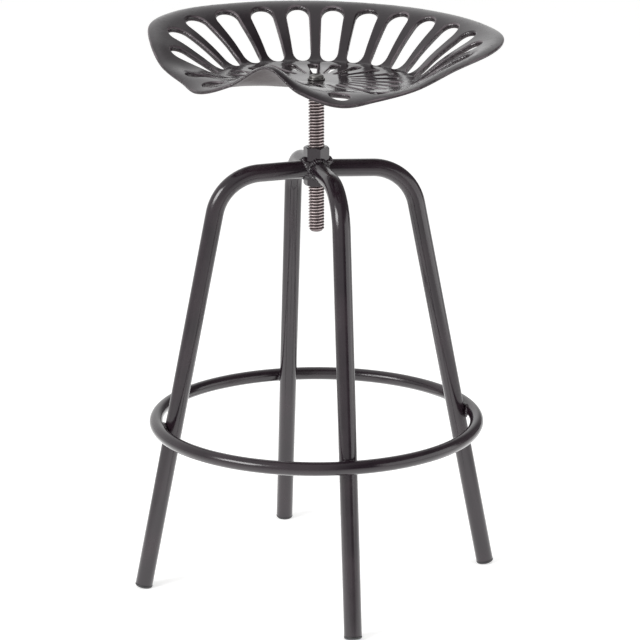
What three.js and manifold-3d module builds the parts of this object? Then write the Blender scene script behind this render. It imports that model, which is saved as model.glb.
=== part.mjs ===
// Tractor seat stool: a cast dished seat on a screw that turns in a tall nut, four bent tube legs
// welded to the nut, and a foot ring welded round the legs. Millimetres, +Z up, seat front towards -Y.
// The origin is on the floor, on the screw's axis.
import * as THREE from 'three';
import { mergeVertices } from 'three/addons/utils/BufferGeometryUtils.js';
import Module from 'manifold-3d';

const degree = Math.PI / 180;

// Clearances
const touchGap = 0.3;        // between welded, seated or fitted pieces
const screwGap = 0.3;        // all round the screw in its nut
const cutOverrun = 6;        // how far a cutting shape runs past what it cuts
const mergeDistance = 0.0001;

// Heights, from the seat down to the nut, its screw and the legs
const seatPanHeight = 727;   // top of the pan at the screw's axis
const nutBelowPan = 94;
const nutHeight = 54;
const nutTopHeight = seatPanHeight - nutBelowPan;
const nutBottomHeight = nutTopHeight - nutHeight;
const screwBelowNut = 66;
const screwBottomHeight = nutBottomHeight - screwBelowNut;
const legRunBelowNutTop = 30.6;
const legRunHeight = nutTopHeight - legRunBelowNutTop;   // where a leg's centre line meets the axis

// Legs: one tube each, out from the nut, round one bend and down to the floor
const legTubeDiameter = 25;
const legTubeWall = 1.8;
const legRunFall = 2.25 * degree;
const legLean = 11.2 * degree;
const legSideLean = 1.07 * degree;
const legTurn = 35.86 * degree;
const legBendRadius = 67.8;
const legBendReach = 133.7;  // from the screw's axis to where run and straight leg would meet
const legBendSteps = 9;
const legCount = 4;
const legSides = 16;
const legBoreSides = 8;

// Foot caps
const capHeadHeight = 4.5;
const capEdgeRadius = 2.5;
const capEdgeSteps = 3;
const capPlugLength = 12;
const capPlugTaper = 0.6;
const capFlatDepth = 0.8;    // cut off level, to stand on

// Foot ring
const ringTubeDiameter = 19;
const ringTubeWall = 1.5;
const ringHeight = 237.5;
const ringSides = 12;
const ringBoreSides = 6;
const ringSteps = 36;

// Tall nut
const nutAcrossFlats = 32;
const nutTurn = 39.5 * degree;
const nutChamfer = 1.6;
const roundSides = 24;

// Welds
const nutWeldWidth = 4.5;
const nutWeldReach = 7;
const nutWeldCrownShare = 0.5;
const nutWeldSlopeShare = 0.3;
const ringWeldRadius = 7.6;
const ringWeldThickness = 2.9;
const ringWeldStretchShare = 1.25;
const ringWeldSides = 6;
const ringWeldSteps = 14;

// Screw: a trapezoidal thread with a tapered lower end
const screwDiameter = 22.2;
const screwPitch = 4.2333;
const screwThreadDepth = 2;
const screwTipLength = 5;
const screwTipInset = 4;
const threadSides = 10;
const crestStartShare = 0.22;    // places along one pitch
const crestEndShare = 0.56;
const rootStartShare = 0.78;

// Flange between the screw and the seat
const flangeDiameter = 49;
const flangeThickness = 6;
const flangeSides = 32;

// Seat bolt and washer
const boltDiameter = 12;
const boltHeadDiameter = 20;
const boltHeadHeight = 5.2;
const boltHeadRimShare = 0.45;   // of the head's height, below its dome
const boltDomeSteps = 4;
const boltSocketAcrossFlats = 7;
const boltSocketDepth = 3;
const boltDepthInScrew = 25;
const washerDiameter = 24;
const washerThickness = 1.6;

// Seat
const seatThickness = 7.2;
const seatEdgeThickness = 3.8;
const seatHalfWidth = 256.5;
const seatRise = 75;             // the rear edge's height above the middle of the pan
const seatLean = 1.4 * degree;   // off level as bolted on, lower towards +X
const seatPanShare = 0.538;      // of the half width, where the side walls start
const seatPanRadius = seatPanShare * seatHalfWidth;
const seatSectors = 48;
// Stations on a line from the middle of the seat to its edge: on the pan as shares of its radius,
// then as shares of the way from there to the edge
const panShares = [0.18, 0.45, 0.92, 1];
const wallShares = [0.06, 0.27, 0.5, 0.7, 0.83, 0.92, 1];
// The seat's upper surface, by angle from the rear: the line's length as a share of the half width,
// then the height at each station as a share of the rise
const seatAngles = [0, 25, 50, 75, 90, 105, 120, 135, 148, 165, 180];
const seatShares = [
  [0.926, 0, 0, 0.02, 0.04, 0.112, 0.429, 0.743, 0.924, 0.989, 0.999, 0.96],
  [0.926, 0, 0, 0.02, 0.04, 0.111, 0.425, 0.732, 0.939, 0.991, 0.996, 0.961],
  [0.962, 0, 0, 0.021, 0.039, 0.103, 0.388, 0.659, 0.873, 0.947, 0.963, 0.935],
  [1.004, 0, 0, 0.023, 0.039, 0.103, 0.368, 0.607, 0.781, 0.868, 0.895, 0.873],
  [0.984, 0, 0.003, 0.027, 0.041, 0.093, 0.313, 0.53, 0.675, 0.764, 0.797, 0.779],
  [0.908, 0, 0.007, 0.034, 0.045, 0.076, 0.204, 0.357, 0.485, 0.564, 0.592, 0.587],
  [0.836, 0, 0.014, 0.047, 0.055, 0.068, 0.122, 0.175, 0.237, 0.272, 0.288, 0.281],
  [0.770, 0, 0.028, 0.103, 0.116, 0.125, 0.14, 0.149, 0.143, 0.132, 0.118, 0.093],
  [0.776, 0, 0.05, 0.125, 0.134, 0.134, 0.132, 0.118, 0.098, 0.073, 0.048, 0.018],
  [0.749, 0, 0.064, 0.22, 0.245, 0.252, 0.279, 0.3, 0.304, 0.29, 0.266, 0.235],
  [0.692, 0, 0.072, 0.359, 0.433, 0.449, 0.504, 0.56, 0.597, 0.608, 0.601, 0.593],
];

// Slots and holes through the seat
const outerSlotPitch = 15 * degree;
const outerSlotSideCount = 7;        // on each side of the one at the rear
const outerSlotBandShare = 0.115;    // of the half width, from the slots' outer ends to the edge
const outerSlotWidthShare = 0.085;   // half a slot's width as a share of the distance from the axis
const frontSlotAngle = 129 * degree;     // one more outer slot on each side, beside the front lobe
const frontSlotBandShare = 0.068;
const innerSlotPlaces = 22;          // equal places round the axis; the two at the pommel are not cut
const innerSlotSideCount = 10;
const innerSlotStartShare = 0.362;   // of the pan's radius
const innerSlotStartRadius = 2;
const innerSlotEndShare = 0.862;
const innerSlotEndRadius = 6.5;
const thighHoleAngle = 147.7 * degree;
const thighHoleDistanceShare = 0.662;    // of the half width
const thighHoleWidth = 28;
const thighHoleLength = 31;
const slotEndSteps = 5;

const framePaint = { color: 0x2f2d2f, roughness: 0.36, metalness: 0.2 };
const seatPaint = { color: 0x262527, roughness: 0.22, metalness: 0.2 };
const bareSteel = { color: 0x6b5d57, roughness: 0.42, metalness: 0.9 };
const zincSteel = { color: 0x5a5654, roughness: 0.4, metalness: 0.8 };
const capPlastic = { color: 0x232224, roughness: 0.6, metalness: 0 };

const wasm = await Module();
wasm.setup();

function solidOf(geometry, matrix) {
  const bare = geometry.clone();
  bare.deleteAttribute('normal');
  bare.deleteAttribute('uv');
  const merged = mergeVertices(bare, mergeDistance);
  if (matrix) merged.applyMatrix4(matrix);
  const vertProperties = new Float32Array(merged.attributes.position.array);
  const triVerts = new Uint32Array(merged.index.array);
  return new wasm.Manifold(new wasm.Mesh({ numProp: 3, vertProperties, triVerts }));
}

function meshOf(name, solid, look) {
  const shape = solid.getMesh();
  const geometry = new THREE.BufferGeometry();
  const positions = new Float32Array(shape.vertProperties);
  geometry.setAttribute('position', new THREE.BufferAttribute(positions, 3));
  geometry.setIndex(new THREE.BufferAttribute(new Uint32Array(shape.triVerts), 1));
  geometry.computeVertexNormals();
  const mesh = new THREE.Mesh(geometry, new THREE.MeshStandardMaterial(look));
  mesh.name = name;
  return mesh;
}

// A solid of revolution about Z from a list of [radius, height], outer side upwards
function turned(profile, sides) {
  const points = profile.map(([radius, height]) => new THREE.Vector2(radius, height));
  return new THREE.LatheGeometry(points, sides).rotateX(Math.PI / 2);
}

// An upright prism or cylinder on the Z axis
function prism(radius, bottom, top, sides) {
  return turned([[0, bottom], [radius, bottom], [radius, top], [0, top]], sides);
}

// The radius of a polygon's corners, from the distance across its flats
function cornerRadius(acrossFlats, sides) {
  return acrossFlats / 2 / Math.cos(Math.PI / sides);
}

function polygonPoints(radius, sides) {
  return Array.from({ length: sides }, (_, i) => {
    const angle = (2 * Math.PI * i) / sides;
    return new THREE.Vector2(radius * Math.cos(angle), radius * Math.sin(angle));
  });
}

// A curve through given stations, each with its own direction
class StationLine extends THREE.Curve {
  constructor(points, directions) {
    super();
    this.points = points;
    this.directions = directions;
  }

  getPointAt(share) {
    return this.points[Math.round(share * (this.points.length - 1))].clone();
  }

  getTangentAt(share) {
    return this.directions[Math.round(share * (this.points.length - 1))].clone();
  }
}

function rodAlong(line, radius, sides) {
  const shape = new THREE.Shape(polygonPoints(radius, sides));
  return new THREE.ExtrudeGeometry(shape, { steps: line.points.length - 1, extrudePath: line });
}

function tubeAlong(line, radius, sides, boreRadius, boreSides) {
  const shape = new THREE.Shape(polygonPoints(radius, sides));
  shape.holes.push(new THREE.Path(polygonPoints(boreRadius, boreSides)));
  return new THREE.ExtrudeGeometry(shape, { steps: line.points.length - 1, extrudePath: line });
}

// A leg's centre line in its own frame: x outwards from the screw's axis, z up, the run starting at 0
function legStations() {
  const runDirection = new THREE.Vector3(Math.cos(legRunFall), 0, -Math.sin(legRunFall));
  const footDirection = new THREE.Vector3(Math.sin(legLean), 0, -Math.cos(legLean));
  const inward = new THREE.Vector3(-Math.sin(legRunFall), 0, -Math.cos(legRunFall));
  const bendAxis = new THREE.Vector3(0, 1, 0);
  const runSlope = Math.tan(legRunFall);
  const fall = (legBendReach * runSlope) / (1 - Math.tan(legLean) * runSlope);
  const corner = new THREE.Vector3(legBendReach + fall * Math.tan(legLean), 0, -fall);
  const bendTurn = runDirection.angleTo(footDirection);
  const cornerLength = legBendRadius * Math.tan(bendTurn / 2);
  const bendStart = corner.clone().addScaledVector(runDirection, -cornerLength);
  const bendEnd = corner.clone().addScaledVector(footDirection, cornerLength);
  const centre = bendStart.clone().addScaledVector(inward, legBendRadius);

  const points = [new THREE.Vector3()];
  const directions = [runDirection];
  for (let i = 0; i <= legBendSteps; i += 1) {
    const angle = (bendTurn * i) / legBendSteps;
    points.push(bendStart.clone().sub(centre).applyAxisAngle(bendAxis, angle).add(centre));
    directions.push(runDirection.clone().applyAxisAngle(bendAxis, angle));
  }
  return { points, directions, bendEnd, footDirection };
}

const leg = legStations();
const legRadius = legTubeDiameter / 2;
const legBoreRadius = legRadius - legTubeWall;

// Turns a leg's frame to its place round the nut, without its side lean
function quarterMatrix(index) {
  const turn = legTurn - Math.PI / 2 + (index * 2 * Math.PI) / legCount;
  return new THREE.Matrix4().makeRotationZ(turn).setPosition(0, 0, legRunHeight);
}

function legMatrix(index) {
  return quarterMatrix(index).multiply(new THREE.Matrix4().makeRotationX(-legSideLean));
}

// The middle of a foot's end face, placed so that its lowest edge is cut level by the floor
function footEndPoint() {
  const placed = legMatrix(0);
  const start = leg.bendEnd.clone().applyMatrix4(placed);
  const direction = leg.footDirection.clone().transformDirection(placed);
  const lean = Math.acos(-direction.z);
  const flatRadius = legRadius - capEdgeRadius;
  const lowEdge = flatRadius * Math.sin(lean) + capEdgeRadius * (1 - Math.cos(lean));
  const length = (start.z - (lowEdge - capFlatDepth)) / Math.cos(lean);
  return leg.bendEnd.clone().addScaledVector(leg.footDirection, length);
}

const footEnd = footEndPoint();
const tubeEnd = footEnd.clone().addScaledVector(leg.footDirection, -capHeadHeight);
const legLine = new StationLine(
  [...leg.points, tubeEnd],
  [...leg.directions, leg.footDirection],
);

// The space that the nut and its gap take
function nutSpace() {
  const corner = cornerRadius(nutAcrossFlats + 2 * touchGap, 6);
  const bottom = nutBottomHeight - cutOverrun;
  return solidOf(prism(corner, bottom, nutTopHeight + cutOverrun, 6).rotateZ(nutTurn));
}

// The space that a leg and its gap take
function legSpace(index) {
  const radius = cornerRadius(legTubeDiameter + 2 * touchGap, legSides);
  return solidOf(rodAlong(legLine, radius, legSides), legMatrix(index));
}

// A quarter of the space round the screw's axis, so that neighbouring legs and welds stay apart
function quarterSpace(index) {
  const reach = 2 * legRunHeight;
  const outline = new THREE.Shape([
    new THREE.Vector2(touchGap, 0),
    new THREE.Vector2(reach, touchGap - reach),
    new THREE.Vector2(reach, reach - touchGap),
  ]);
  const wedge = new THREE.ExtrudeGeometry(outline, { depth: 2 * reach, bevelEnabled: false });
  return solidOf(wedge.translate(0, 0, -reach), quarterMatrix(index));
}

function legTube(index) {
  const tube = tubeAlong(legLine, legRadius, legSides, legBoreRadius, legBoreSides);
  return solidOf(tube, legMatrix(index)).intersect(quarterSpace(index)).subtract(nutSpace());
}

// A foot cap: its head has a rounded edge, and its plug goes up the tube
function footCap(index) {
  const shoulder = capHeadHeight - touchGap;
  const plugTop = shoulder + capPlugLength;
  const plugRadius = legBoreRadius * Math.cos(Math.PI / legBoreSides) - touchGap;
  const profile = [[0, 0]];
  for (let i = 0; i <= capEdgeSteps; i += 1) {
    const angle = (i / capEdgeSteps) * (Math.PI / 2);
    const radius = legRadius - capEdgeRadius * (1 - Math.sin(angle));
    profile.push([radius, capEdgeRadius * (1 - Math.cos(angle))]);
  }
  profile.push([legRadius, shoulder], [plugRadius, shoulder]);
  profile.push([plugRadius - capPlugTaper, plugTop], [0, plugTop]);

  const upwards = new THREE.Vector3(0, 0, 1);
  const turn = new THREE.Quaternion().setFromUnitVectors(upwards, leg.footDirection.clone().negate());
  const matrix = new THREE.Matrix4().makeRotationFromQuaternion(turn).setPosition(footEnd);
  matrix.premultiply(legMatrix(index));
  const cap = solidOf(turned(profile, legSides), matrix);

  const place = footEnd.clone().applyMatrix4(legMatrix(index));
  const size = 2 * legTubeDiameter;
  const floor = new THREE.BoxGeometry(size, size, size).translate(place.x, place.y, -size / 2);
  return cap.subtract(solidOf(floor));
}

// The tall nut: a hexagonal body with its corners turned off at both ends, and a plain bore
function hubNut() {
  const corner = cornerRadius(nutAcrossFlats, 6);
  const flat = nutAcrossFlats / 2;
  const profile = [[0, nutBottomHeight], [flat, nutBottomHeight], [corner, nutBottomHeight + nutChamfer]];
  profile.push([corner, nutTopHeight - nutChamfer], [flat, nutTopHeight], [0, nutTopHeight]);
  const hex = solidOf(prism(corner, nutBottomHeight, nutTopHeight, 6));
  const body = hex.intersect(solidOf(turned(profile, 2 * roundSides)));
  const radius = cornerRadius(screwDiameter + 2 * screwGap, roundSides);
  const bottom = nutBottomHeight - cutOverrun;
  const bore = prism(radius, bottom, nutTopHeight + cutOverrun, roundSides);
  return body.rotate([0, 0, nutTurn / degree]).subtract(solidOf(bore));
}

// The weld bead round a leg's end, against the nut
function nutWeld(index) {
  const face = nutAcrossFlats / 2;
  const end = face + nutWeldReach;
  const outer = legRadius + nutWeldWidth;
  const crownRadius = legRadius + nutWeldWidth * (1 - nutWeldSlopeShare);
  const crown = face + nutWeldReach * nutWeldCrownShare;
  const start = face - nutWeldReach;
  const profile = [[legRadius, start], [outer, start], [outer, face], [crownRadius, crown]];
  profile.push([legRadius, end], [legRadius, start]);
  const alongRun = new THREE.Matrix4().makeRotationY(Math.PI / 2 + legRunFall);
  const matrix = legMatrix(index).multiply(alongRun);
  const bead = solidOf(turned(profile, legSides), matrix).intersect(quarterSpace(index));
  return bead.subtract(nutSpace()).subtract(legSpace(index));
}

// Where a leg's centre line passes the foot ring's height
function legAtRing(index) {
  const top = leg.bendEnd.clone().applyMatrix4(legMatrix(index));
  const foot = footEnd.clone().applyMatrix4(legMatrix(index));
  return top.lerp(foot, (top.z - ringHeight) / (top.z - foot.z));
}

// The foot ring lies against the legs' outer sides, and its two ends meet at the first leg
const firstPass = legAtRing(0);
const ringStart = Math.atan2(firstPass.y, firstPass.x);
const ringRadius = ringTubeDiameter / 2;
const ringCentreRadius = Math.hypot(firstPass.x, firstPass.y)
  + (legRadius + touchGap + ringRadius) / Math.cos(legLean);

function footRing() {
  const endTurn = touchGap / 2 / ringCentreRadius;
  const points = [];
  const directions = [];
  for (let i = 0; i <= ringSteps; i += 1) {
    const angle = (2 * Math.PI * i) / ringSteps;
    const trimmed = THREE.MathUtils.clamp(angle, endTurn, 2 * Math.PI - endTurn) + ringStart;
    const outward = new THREE.Vector3(Math.cos(trimmed), Math.sin(trimmed), 0);
    points.push(outward.multiplyScalar(ringCentreRadius).setZ(ringHeight));
    directions.push(new THREE.Vector3(-Math.sin(trimmed), Math.cos(trimmed), 0));
  }
  const line = new StationLine(points, directions);
  return solidOf(tubeAlong(line, ringRadius, ringSides, ringRadius - ringTubeWall, ringBoreSides));
}

// The space that the foot ring and its gap take
function ringSpace() {
  const radius = cornerRadius(ringTubeDiameter + 2 * touchGap, ringSides);
  const torus = new THREE.TorusGeometry(ringCentreRadius, radius, ringSides, ringSteps);
  return solidOf(torus.rotateZ(ringStart).translate(0, 0, ringHeight));
}

// The weld bead all round the place where a leg and the ring touch
function ringWeld(index) {
  const bead = new THREE.TorusGeometry(ringWeldRadius, ringWeldThickness, ringWeldSides, ringWeldSteps);
  bead.scale(ringWeldStretchShare, 1, 1);
  const angle = ringStart + (index * 2 * Math.PI) / legCount;
  const matrix = new THREE.Matrix4().makeRotationZ(angle - Math.PI / 2);
  matrix.multiply(new THREE.Matrix4().makeRotationX(-Math.PI / 2 - legLean));
  const touchRadius = ringCentreRadius - (ringRadius + touchGap / 2) * Math.cos(legLean);
  const touchHeight = ringHeight - (ringRadius + touchGap / 2) * Math.sin(legLean);
  matrix.setPosition(touchRadius * Math.cos(angle), touchRadius * Math.sin(angle), touchHeight);
  return solidOf(bead, matrix).subtract(ringSpace()).subtract(legSpace(index));
}

// The stack on the screw's axis, from the pan down and from the pan up
const flangeTop = seatPanHeight - seatThickness - touchGap;
const flangeBottom = flangeTop - flangeThickness;
const screwTopHeight = flangeBottom - touchGap;
const washerBottom = seatPanHeight + touchGap;
const washerTop = washerBottom + washerThickness;
const boltHeadBottom = washerTop + touchGap;
const boltTip = screwTopHeight - boltDepthInScrew;
const boltHoleRadius = cornerRadius(boltDiameter + 2 * touchGap, roundSides);

// The space that the seat bolt's shank and its gap take
function boltSpace() {
  const bottom = boltTip - touchGap;
  return solidOf(prism(boltHoleRadius, bottom, washerTop + cutOverrun, roundSides));
}

// A winding surface: the thread's profile climbs one pitch a turn, closed by a fan at each end
function threadedRod(bottom, top) {
  const crest = screwDiameter / 2;
  const root = crest - screwThreadDepth;
  const profile = [[0, root], [crestStartShare, crest], [crestEndShare, crest], [rootStartShare, root]];
  const turns = Math.ceil((top - bottom) / screwPitch) + 2;
  const lastStep = turns * threadSides;
  const start = bottom - screwPitch;
  const positions = [];
  const rows = profile.map(([share, radius], row) => {
    const first = positions.length / 3;
    const count = row === 0 ? lastStep + threadSides : lastStep;
    for (let step = 0; step <= count; step += 1) {
      const angle = (2 * Math.PI * (step % threadSides)) / threadSides;
      const height = start + (step / threadSides + share) * screwPitch;
      positions.push(radius * Math.cos(angle), radius * Math.sin(angle), height);
    }
    return (step) => first + step;
  });
  const nextTurn = (step) => rows[0](step + threadSides);
  const bottomCentre = positions.length / 3;
  const topCentre = bottomCentre + 1;
  positions.push(0, 0, start, 0, 0, start + (turns + 1) * screwPitch);

  const index = [];
  const uppers = [...rows.slice(1), nextTurn];
  for (let step = 0; step < lastStep; step += 1) {
    rows.forEach((lower, row) => {
      const upper = uppers[row];
      index.push(lower(step), lower(step + 1), upper(step + 1));
      index.push(lower(step), upper(step + 1), upper(step));
    });
  }
  for (let step = 0; step < threadSides; step += 1) {
    const topStep = lastStep - threadSides + step;
    index.push(bottomCentre, rows[0](step + 1), rows[0](step));
    index.push(topCentre, nextTurn(topStep), nextTurn(topStep + 1));
  }
  rows.forEach((lower, row) => {
    index.push(bottomCentre, lower(0), uppers[row](0));
    index.push(topCentre, uppers[row](lastStep), lower(lastStep));
  });
  const geometry = new THREE.BufferGeometry();
  geometry.setAttribute('position', new THREE.Float32BufferAttribute(positions, 3));
  return solidOf(geometry.setIndex(index));
}

function adjustingScrew() {
  const radius = screwDiameter / 2 + touchGap;
  const tip = radius - screwTipInset;
  const profile = [[0, screwBottomHeight], [tip, screwBottomHeight]];
  profile.push([radius, screwBottomHeight + screwTipLength], [radius, screwTopHeight]);
  profile.push([0, screwTopHeight]);
  const envelope = solidOf(turned(profile, roundSides));
  return threadedRod(screwBottomHeight, screwTopHeight).intersect(envelope).subtract(boltSpace());
}

function screwFlange() {
  const disc = prism(flangeDiameter / 2, flangeBottom, flangeTop, flangeSides);
  return solidOf(disc).subtract(boltSpace());
}

function seatWasher() {
  const disc = prism(washerDiameter / 2, washerBottom, washerTop, roundSides);
  return solidOf(disc).subtract(boltSpace());
}

// The seat bolt: a plain shank and a low domed head with a hexagon socket
function seatBolt() {
  const headRadius = boltHeadDiameter / 2;
  const rimTop = boltHeadBottom + boltHeadHeight * boltHeadRimShare;
  const headTop = boltHeadBottom + boltHeadHeight;
  const profile = [[0, boltTip], [boltDiameter / 2, boltTip], [boltDiameter / 2, boltHeadBottom]];
  profile.push([headRadius, boltHeadBottom]);
  for (let i = 0; i < boltDomeSteps; i += 1) {
    const angle = (i / boltDomeSteps) * (Math.PI / 2);
    profile.push([headRadius * Math.cos(angle), rimTop + (headTop - rimTop) * Math.sin(angle)]);
  }
  profile.push([0, headTop]);
  const socketCorner = cornerRadius(boltSocketAcrossFlats, 6);
  const socket = prism(socketCorner, headTop - boltSocketDepth, headTop + cutOverrun, 6);
  return solidOf(turned(profile, roundSides)).subtract(solidOf(socket));
}

// The seat's upper surface along a line at one angle from the rear: a list of [distance, height]
const seatTable = new THREE.CubicInterpolant(seatAngles, seatShares.flat(), seatShares[0].length);
seatTable.settings = { endingStart: THREE.ZeroSlopeEnding, endingEnd: THREE.ZeroSlopeEnding };

function seatLine(angle) {
  const shares = [...seatTable.evaluate(Math.min(angle, 2 * Math.PI - angle) / degree)];
  const wallLength = shares[0] * seatHalfWidth - seatPanRadius;
  const distances = panShares.map((share) => share * seatPanRadius);
  distances.push(...wallShares.map((share) => seatPanRadius + share * wallLength));
  return distances.map((distance, i) => [distance, seatPanHeight + shares[i + 1] * seatRise]);
}

// The same line on the underside, set off square to the upper one
function undersideLine(line) {
  return line.map(([distance, height], i) => {
    const before = line[Math.max(i - 1, 0)];
    const after = line[Math.min(i + 1, line.length - 1)];
    const along = new THREE.Vector2(after[0] - before[0], after[1] - before[1]).normalize();
    const thickness = i === line.length - 1 ? seatEdgeThickness : seatThickness;
    return [distance + along.y * thickness, height - along.x * thickness];
  });
}

// How much lower a point of the leaning seat is; the middle bears flat on the flange
function leanDrop(distance, sideways) {
  const [flatEnd, leanStart] = panShares.map((share) => share * seatPanRadius);
  return THREE.MathUtils.smoothstep(distance, flatEnd, leanStart) * sideways * Math.tan(seatLean);
}

// The dished shell: loops of points run out over the top, round the edge and back underneath
function seatShell() {
  const positions = [0, 0, seatPanHeight, 0, 0, seatPanHeight - seatThickness];
  for (let sector = 0; sector < seatSectors; sector += 1) {
    const angle = (2 * Math.PI * sector) / seatSectors;
    const line = seatLine(angle);
    for (const [distance, height] of [...line, ...undersideLine(line).reverse()]) {
      const sideways = distance * Math.sin(angle);
      positions.push(sideways, distance * Math.cos(angle), height - leanDrop(distance, sideways));
    }
  }
  const loops = 2 * (panShares.length + wallShares.length);
  const at = (sector, loop) => 2 + (sector % seatSectors) * loops + loop;
  const index = [];
  for (let sector = 0; sector < seatSectors; sector += 1) {
    index.push(0, at(sector + 1, 0), at(sector, 0));
    index.push(1, at(sector, loops - 1), at(sector + 1, loops - 1));
    for (let loop = 0; loop < loops - 1; loop += 1) {
      index.push(at(sector, loop), at(sector + 1, loop), at(sector + 1, loop + 1));
      index.push(at(sector, loop), at(sector + 1, loop + 1), at(sector, loop + 1));
    }
  }
  const geometry = new THREE.BufferGeometry();
  geometry.setAttribute('position', new THREE.Float32BufferAttribute(positions, 3));
  return solidOf(geometry.setIndex(index));
}

// An upright cutter for a slot between two round ends, on a line at one angle from the rear
function slotCutter(angle, start, startRadius, end, endRadius) {
  const tilt = Math.asin((endRadius - startRadius) / (end - start));
  const points = [];
  for (let i = 0; i <= slotEndSteps; i += 1) {
    const turn = (Math.PI + 2 * tilt) * (i / slotEndSteps - 1 / 2);
    points.push(new THREE.Vector2(endRadius * Math.sin(turn), end + endRadius * Math.cos(turn)));
  }
  for (let i = 0; i <= slotEndSteps; i += 1) {
    const turn = Math.PI + (Math.PI - 2 * tilt) * (i / slotEndSteps - 1 / 2);
    points.push(new THREE.Vector2(startRadius * Math.sin(turn), start + startRadius * Math.cos(turn)));
  }
  const bottom = seatPanHeight - seatThickness - cutOverrun;
  const depth = seatPanHeight + seatRise + cutOverrun - bottom;
  const cutter = new THREE.ExtrudeGeometry(new THREE.Shape(points), { depth, bevelEnabled: false });
  return solidOf(cutter.translate(0, 0, bottom).rotateZ(-angle));
}

function outerSlot(angle, bandShare) {
  const line = seatLine(Math.abs(angle));
  const outerEnd = line[line.length - 1][0] - bandShare * seatHalfWidth;
  const end = outerEnd / (1 + outerSlotWidthShare);
  const start = seatPanRadius / (1 - outerSlotWidthShare);
  return slotCutter(angle, start, start * outerSlotWidthShare, end, end * outerSlotWidthShare);
}

function innerSlot(angle) {
  const start = innerSlotStartShare * seatPanRadius + innerSlotStartRadius;
  const end = innerSlotEndShare * seatPanRadius - innerSlotEndRadius;
  return slotCutter(angle, start, innerSlotStartRadius, end, innerSlotEndRadius);
}

function thighHole(angle) {
  const radius = thighHoleWidth / 2;
  const half = (thighHoleLength - thighHoleWidth) / 2;
  const middle = thighHoleDistanceShare * seatHalfWidth;
  return slotCutter(angle, middle - half, radius, middle + half, radius);
}

function seatPan() {
  const innerSlotPitch = (2 * Math.PI) / innerSlotPlaces;
  const cutters = [outerSlot(0, outerSlotBandShare)];
  for (const side of [-1, 1]) {
    for (let i = 1; i <= outerSlotSideCount; i += 1) {
      cutters.push(outerSlot(side * i * outerSlotPitch, outerSlotBandShare));
    }
    cutters.push(outerSlot(side * frontSlotAngle, frontSlotBandShare));
    for (let i = 0; i < innerSlotSideCount; i += 1) {
      cutters.push(innerSlot(side * (i + 1 / 2) * innerSlotPitch));
    }
    cutters.push(thighHole(side * thighHoleAngle));
  }
  const holes = cutters.reduce((all, cutter) => all.add(cutter), boltSpace());
  return seatShell().subtract(holes);
}

const stool = new THREE.Group();
const seatAssembly = new THREE.Group();
seatAssembly.add(meshOf('seat_pan', seatPan(), seatPaint));
seatAssembly.add(meshOf('seat_bolt', seatBolt(), zincSteel));
seatAssembly.add(meshOf('seat_washer', seatWasher(), zincSteel));
seatAssembly.add(meshOf('screw_flange', screwFlange(), framePaint));
seatAssembly.add(meshOf('adjusting_screw', adjustingScrew(), bareSteel));
stool.add(seatAssembly);

const base = new THREE.Group();
base.add(meshOf('hub_nut', hubNut(), framePaint));
base.add(meshOf('foot_ring', footRing(), framePaint));
for (let i = 0; i < legCount; i += 1) {
  base.add(meshOf(`leg_${i + 1}`, legTube(i), framePaint));
  base.add(meshOf(`hub_weld_${i + 1}`, nutWeld(i), framePaint));
  base.add(meshOf(`ring_weld_${i + 1}`, ringWeld(i), framePaint));
  base.add(meshOf(`foot_cap_${i + 1}`, footCap(i), capPlastic));
}
stool.add(base);

export default stool;
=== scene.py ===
# Tractor seat stool: finely made pieces, finishes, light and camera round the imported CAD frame.
# Sizes are in millimetres, as on a workshop drawing, and each mesh turns to metres when it is done.
import math

import bmesh
import bpy
import numpy as np
from mathutils import Matrix, Vector, noise


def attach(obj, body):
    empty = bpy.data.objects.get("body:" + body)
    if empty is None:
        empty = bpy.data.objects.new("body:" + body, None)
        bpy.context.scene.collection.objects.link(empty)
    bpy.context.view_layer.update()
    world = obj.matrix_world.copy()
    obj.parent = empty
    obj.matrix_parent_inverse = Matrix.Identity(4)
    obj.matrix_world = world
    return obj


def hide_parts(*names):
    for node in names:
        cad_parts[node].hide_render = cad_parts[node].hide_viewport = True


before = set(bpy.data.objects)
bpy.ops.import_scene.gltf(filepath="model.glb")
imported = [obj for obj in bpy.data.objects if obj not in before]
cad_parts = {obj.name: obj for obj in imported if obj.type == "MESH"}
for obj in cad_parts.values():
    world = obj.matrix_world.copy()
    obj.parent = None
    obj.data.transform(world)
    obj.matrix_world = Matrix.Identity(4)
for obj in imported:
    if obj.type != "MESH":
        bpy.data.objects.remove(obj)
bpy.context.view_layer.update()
mm = 0.001
upright = Vector((0, 0, 1))
mergeWithin = 0.002   # points nearer to each other than this are one point
print("frame loaded:", len(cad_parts), "CAD nodes")


# Nodes and colours

def hexColour(code):
    # an sRGB hex code turned to linear values
    channels = [int(code[i:i + 2], 16) / 255 for i in (1, 3, 5)]
    return [c / 12.92 if c <= 0.04045 else ((c + 0.055) / 1.055) ** 2.4 for c in channels] + [1]


def addNode(tree, kind, values=None, links=None, **settings):
    node = tree.nodes.new(kind)
    for name, value in settings.items():
        setattr(node, name, value)
    for name, value in (values or {}).items():
        node.inputs[name].default_value = value
    for name, source in (links or {}).items():
        tree.links.new(source, node.inputs[name])
    return node


def startMaterial(name, values):
    material = bpy.data.materials.new(name)
    material.use_nodes = True
    tree = material.node_tree
    tree.nodes.clear()
    shader = addNode(tree, "ShaderNodeBsdfPrincipled", values)
    addNode(tree, "ShaderNodeOutputMaterial", links={"Surface": shader.outputs[0]})
    place = addNode(tree, "ShaderNodeTexCoord").outputs["Object"]
    return material, tree, shader, place


def linkSurface(tree, shader, colour, roughness, normal):
    tree.links.new(colour, shader.inputs["Base Color"])
    tree.links.new(roughness, shader.inputs["Roughness"])
    tree.links.new(normal, shader.inputs["Normal"])


def perMetre(size):
    return 1 / (size * mm)   # a noise scale from the size of one mottle in millimetres


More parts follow.
